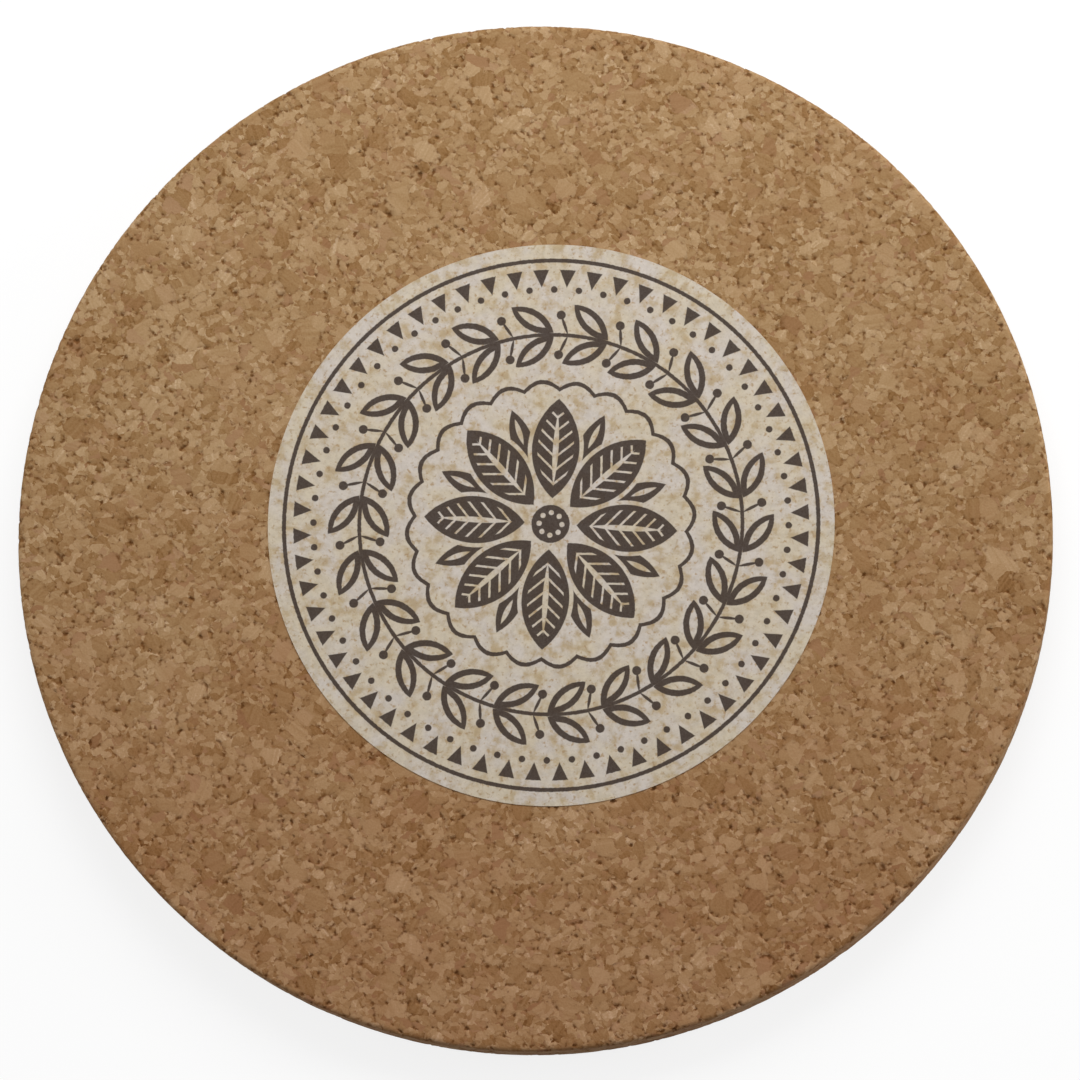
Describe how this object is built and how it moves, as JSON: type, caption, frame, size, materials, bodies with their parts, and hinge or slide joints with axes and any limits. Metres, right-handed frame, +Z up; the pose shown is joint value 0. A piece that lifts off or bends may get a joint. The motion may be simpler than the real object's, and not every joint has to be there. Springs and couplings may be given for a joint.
{
  "type": "trivet",
  "caption": "Flat round trivet: a disc of pressed cork granules with sanded rims and a round paper label stuck on its top, for standing hot pans on a table.",
  "frame": {"origin": "centre of the disc's underside, on the table", "axes": "+Z up out of the labelled top face along the disc's axis; +X to the right and +Y to the back as the label is read"},
  "size_m": [0.2, 0.2, 0.0101],
  "materials": {
    "cork": "matte sanded agglomerated cork, granules of about 1 to 5 mm with small dark pits between them",
    "adhesive": "dried pressure-sensitive acrylic coat",
    "label_paper": "satin flecked cream paper with dark brown print"
  },
  "bodies": {
    "root": {"cork_disc": "cork", "label_adhesive": "adhesive", "label_paper": "label_paper"}
  },
  "joints": []
}
